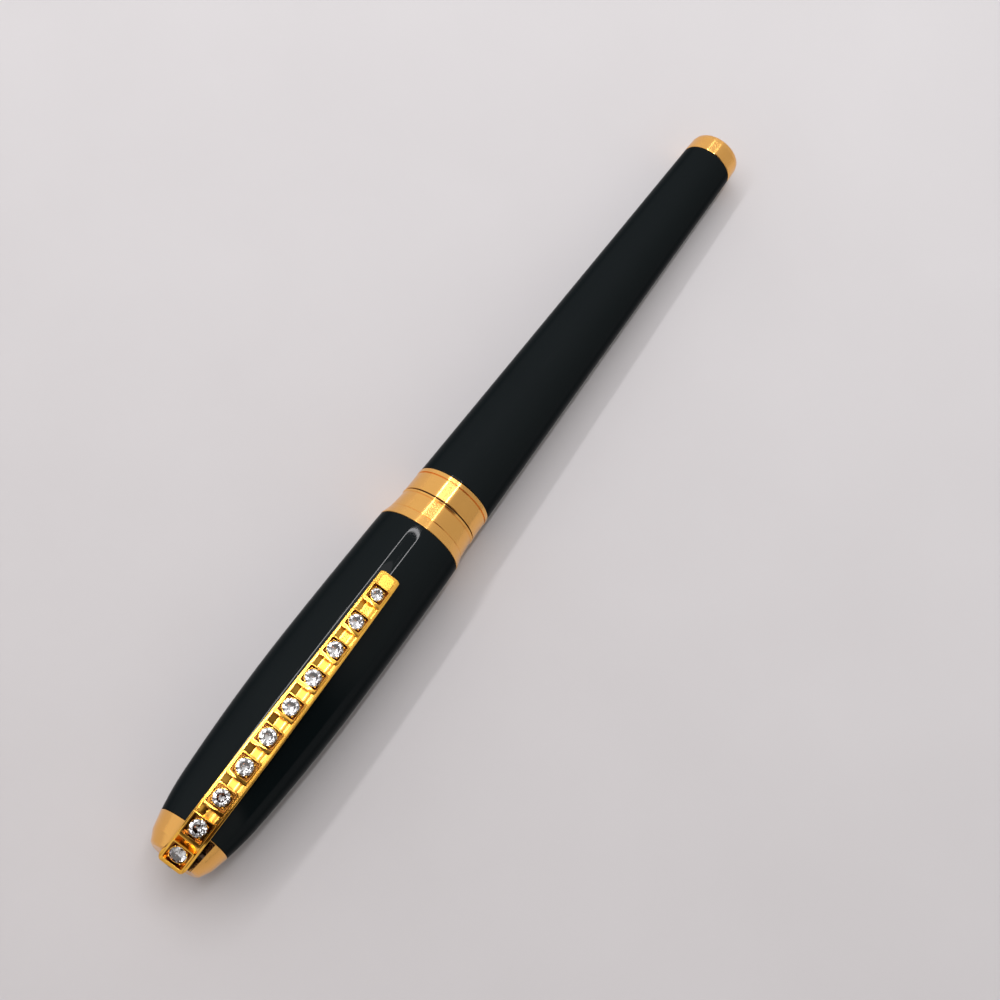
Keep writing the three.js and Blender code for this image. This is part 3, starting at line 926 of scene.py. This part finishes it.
round_piece("barrel_front_ring", gold_turned, 0.03, reshape=closed_gap)
round_piece("barrel_insert", brass)
round_piece("barrel_shell", lacquer, 0.06)
round_piece("barrel_end_cap", gold_turned, 0.08)
round_piece("spring_seat", steel)
carried_over("refill_spring", steel)

round_piece("refill_point", steel, 0.03)
round_piece("refill_ball", steel, 0.0)
round_piece("refill_collar", white_plastic)
round_piece("feed_rod", ink_fibre)
round_piece("refill_tube", steel)
round_piece("ink_reservoir", ink_fibre)
round_piece("refill_plug", black_plastic)


# Floor, light and camera

FLOOR_HALF = 2.0
# The table's colour runs from grey to pale towards this direction: painted shade and painted light across
# it.
FLOOR_PAINTED_LIGHT_TOWARDS = (0.976, 0.219, 0.0)
FLOOR_PAINTED_SHADE_COLOUR = (0.500, 0.480, 0.480)
FLOOR_PAINTED_LIGHT_COLOUR = (0.665, 0.650, 0.655)

# The lamp, as angles in degrees seen from the pen: across it towards +Y, and along it towards the barrel
LAMP_DISTANCE = 0.9
LAMP_ACROSS = (4.2, 34.7)
LAMP_ALONG = (-24.0, 22.6)
LAMP_END = 1.2
LAMP_LINE = 1.8
LAMP_TURN = 0.7
LAMP_PANEL_END = 19.8
LINE_GLOW = 30
PANEL_GLOW = 2.2

CAMERA_AT = (-0.09549, -0.00002, 0.24985)
CAMERA_RIGHT = (0.5597, -0.7937, 0.2385)
CAMERA_UP = (0.7438, 0.6079, 0.2778)
CAMERA_LENS = 64.8
PEN_ROLLED_BY = 0.5


def row(x, z):
    """A point over the pen's middle, in metres of the row frame."""
    return Vector((CROWN_X + x * MM, 0, AXIS_Z + z * MM))


def floor():
    """A pale matte table that touches the cap's end and the barrel's end, so it leans a little. Its colour
    is painted greyer on one side and paler on the other: painted shade and painted light.
    """
    front, rear = row(FRONT_REST[0], -FRONT_REST[1]), row(REAR_REST[0], -REAR_REST[1])
    along = (rear - front).normalized()
    across = Vector((0, 1, 0))
    ways = ((-1, -1), (1, -1), (1, 1), (-1, 1))
    corners = [front + (along * a + across * b) * FLOOR_HALF for a, b in ways]
    mesh = bpy.data.meshes.new("table_top")
    mesh.from_pydata([c[:] for c in corners], [], [(0, 1, 2, 3)])
    made = bpy.data.objects.new("table_top", mesh)
    bpy.context.scene.collection.objects.link(made)
    look = Look("table_paper", 0.6)
    cloud = look.spread(look.noise(30, 4), 0.3, 0.7, -0.06, 0.06)
    # Painted light and shade: the colour slopes from grey to pale across the table, with a random cloud on
    # top.
    painted_light_and_cloud = look.add(look.slope(FLOOR_PAINTED_LIGHT_TOWARDS, -0.12, 0.12), cloud)
    look.colours(painted_light_and_cloud, FLOOR_PAINTED_SHADE_COLOUR, FLOOR_PAINTED_LIGHT_COLOUR)
    look.roughness(look.spread(look.noise(900, 3), 0.3, 0.7, 0.5, 0.65))
    look.bump(look.noise(2500, 4), 4.0e-6)
    look.shader.inputs["IOR"].default_value = 1.3
    mesh.materials.append(look.material)


def lamp_point(along, across):
    """A point on the lamp, from its two angles."""
    a, b = math.radians(along), math.radians(across)
    d = Vector((math.sin(a), math.cos(a) * math.sin(b), math.cos(a) * math.cos(b)))
    return (row(44, 0) + d * LAMP_DISTANCE)[:]


def lamp_part(name, points, faces, strength):
    """A glowing sheet, from points given as the lamp's two angles."""
    mesh = bpy.data.meshes.new(name)
    mesh.from_pydata([lamp_point(*p) for p in points], [], faces)
    made = bpy.data.objects.new(name, mesh)
    bpy.context.scene.collection.objects.link(made)
    look = bpy.data.materials.new(f"{name}_glow")
    look.use_nodes = True
    shader = look.node_tree.nodes["Principled BSDF"]
    shader.inputs["Base Color"].default_value = (0, 0, 0, 1)
    shader.inputs["Emission Color"].default_value = (1.0, 0.98, 1.0, 1)
    shader.inputs["Emission Strength"].default_value = strength
    mesh.materials.append(look)


def lamp():
    """A long lamp overhead: a soft panel, and a bright line round it that ends in a turn past the panel."""
    middle, spread = sum(LAMP_ACROSS) / 2, (LAMP_ACROSS[1] - LAMP_ACROSS[0]) / 2

    def outline(side):
        """The line's outer edge for side 1, or its inner edge for side -1."""
        line, turn = side * LAMP_LINE / 2, side * LAMP_TURN / 2
        points = [(a, middle + spread + line) for a in np.linspace(*LAMP_ALONG, 9)]
        for t in np.linspace(math.pi / 2, -math.pi / 2, 25)[1:-1]:
            wide = line + (turn - line) * math.cos(t)
            along = LAMP_ALONG[1] + (LAMP_END + wide) * math.cos(t)
            points.append((along, middle + (spread + wide) * math.sin(t)))
        return points + [(a, middle - spread - line) for a in np.linspace(*LAMP_ALONG[::-1], 9)]

    outer, inner = outline(1), outline(-1)
    n = len(outer)
    lamp_part("lamp_edge", outer + inner, [(k, k + 1, n + k + 1, n + k) for k in range(n - 1)], LINE_GLOW)
    sides = [(a, middle + way * (spread - LAMP_LINE)) for way in (1, -1)
             for a in np.linspace(LAMP_ALONG[0], LAMP_PANEL_END, 9)]
    lamp_part("lamp_panel", sides, [(k, k + 1, k + 10, k + 9) for k in range(8)], PANEL_GLOW)


def room():
    """Soft light from all round: bright from the window's side, dimmer behind and where a person stands."""
    world = bpy.data.worlds.new("room")
    bpy.context.scene.world = world
    world.use_nodes = True
    tree = world.node_tree
    background = tree.nodes["Background"]
    direction = tree.nodes.new("ShaderNodeTexCoord").outputs["Generated"]

    def along(axis):
        """The cosine of the angle between the direction looked in and an axis."""
        dot = tree.nodes.new("ShaderNodeVectorMath")
        dot.operation = "DOT_PRODUCT"
        dot.inputs[1].default_value = Vector(axis).normalized()
        tree.links.new(direction, dot.inputs[0])
        return dot.outputs["Value"]

    def over(value, low, high):
        """0 to 1 as value goes from low to high."""
        ease = tree.nodes.new("ShaderNodeMapRange")
        ease.interpolation_type = "SMOOTHSTEP"
        ease.inputs["From Min"].default_value = low
        ease.inputs["From Max"].default_value = high
        tree.links.new(value, ease.inputs["Value"])
        return ease.outputs["Result"]

    def math_node(operation, a, b):
        made = tree.nodes.new("ShaderNodeMath")
        made.operation = operation
        tree.links.new(a, made.inputs[0])
        tree.links.new(b, made.inputs[1])
        return made.outputs["Value"]

    def mixed(factor, first, second):
        mix = tree.nodes.new("ShaderNodeMix")
        mix.data_type = "RGBA"
        tree.links.new(factor, mix.inputs["Factor"])
        for socket, colour in (("A", first), ("B", second)):
            if isinstance(colour, tuple):
                mix.inputs[socket].default_value = (*colour, 1)
            else:
                tree.links.new(colour, mix.inputs[socket])
        return mix.outputs["Result"]

    soft = mixed(over(along((0, 1, 0)), -0.8, 0.8), (0.72, 0.70, 0.68), (1.0, 0.99, 1.0))
    arms = math_node("MULTIPLY", over(along((0, -1, 0)), 0.02, 0.10), over(along((-1, 0, 0)), -0.28, -0.18))
    arms = math_node("MULTIPLY", arms, over(along((1, 0, 0)), -0.05, 0.05))
    head = over(along((-0.5, -0.1, 0.86)), 0.86, 0.90)
    person = mixed(math_node("MAXIMUM", arms, head), soft, (0.03, 0.015, 0.01))
    tree.links.new(person, background.inputs["Color"])
    background.inputs["Strength"].default_value = 0.8


def camera():
    """The viewpoint: over the crown's end, looking down along the pen."""
    right, up = Vector(CAMERA_RIGHT), Vector(CAMERA_UP)
    back = right.cross(up)
    turn = Matrix((right, up, back)).transposed().to_4x4()
    turn.translation = Vector(CAMERA_AT)
    roll = Matrix.Translation((0, 0, AXIS_Z)) @ Matrix.Rotation(math.radians(PEN_ROLLED_BY), 4, "X")
    made = bpy.data.objects.new("camera", bpy.data.cameras.new("camera"))
    bpy.context.scene.collection.objects.link(made)
    made.matrix_world = roll @ Matrix.Translation((0, 0, -AXIS_Z)) @ turn
    made.data.lens = CAMERA_LENS
    made.data.sensor_width = 36
    made.data.clip_start = 0.01
    bpy.context.scene.camera = made


floor()
lamp()
room()
camera()
bpy.context.scene.view_settings.view_transform = "Standard"
